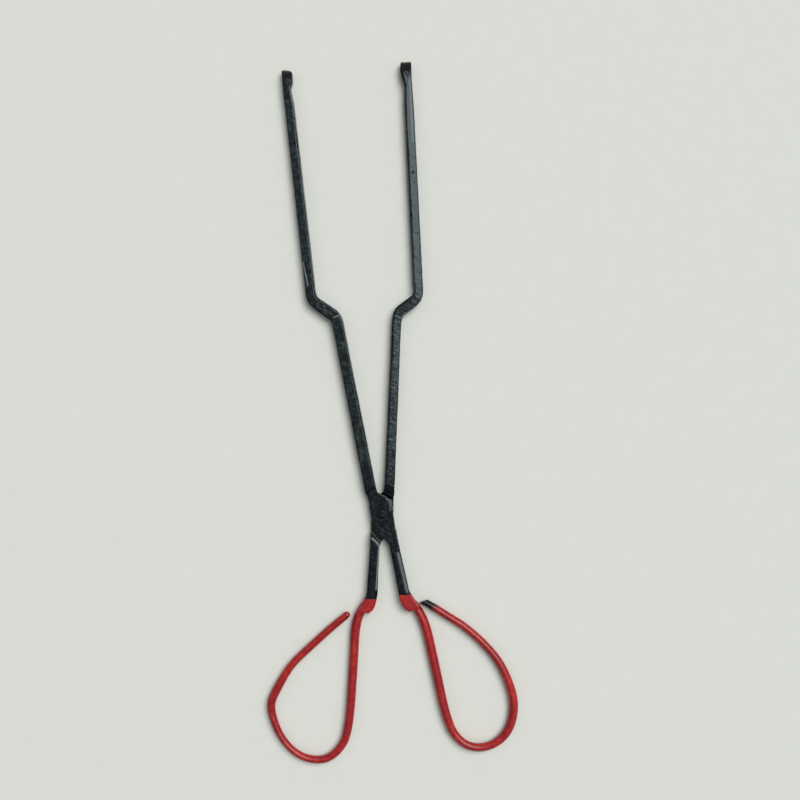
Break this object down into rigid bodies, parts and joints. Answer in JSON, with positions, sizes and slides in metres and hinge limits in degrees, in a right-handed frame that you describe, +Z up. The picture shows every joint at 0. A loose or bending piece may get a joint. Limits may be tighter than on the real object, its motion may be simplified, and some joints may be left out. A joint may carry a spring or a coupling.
{
  "type": "crucible tongs",
  "caption": "Scissor tongs forged from bar: offset parallel jaws, half-lap riveted boss and open hand loops dipped in red enamel, for lifting hot crucibles.",
  "frame": {"origin": "pivot axis at the plane the tongs lie on: the centre of the rivet tail's flat underside", "axes": "+Z up along the pivot axis, +Y along the tongs towards the jaws, +X to the right seen from above"},
  "size_m": [0.1622, 0.4482, 0.0085],
  "materials": {
    "forged_steel": "black forge scale with a satin sheen and hammer marks",
    "rivet_steel": "black forge scale, hammered",
    "red_enamel": "glossy red dip coat, slightly uneven"
  },
  "bodies": {
    "lower_half": {"lower_limb": "forged_steel", "lower_handle_coat": "red_enamel", "pivot_rivet": "rivet_steel"},
    "upper_half": {"upper_limb": "forged_steel", "upper_handle_coat": "red_enamel"}
  },
  "joints": [
    {"name": "pivot", "type": "hinge", "parent": "lower_half", "child": "upper_half", "pos_m": [0, 0, 0.0035], "axis": [0, 0, 1], "range_deg": [-13.8, 60]}
  ]
}
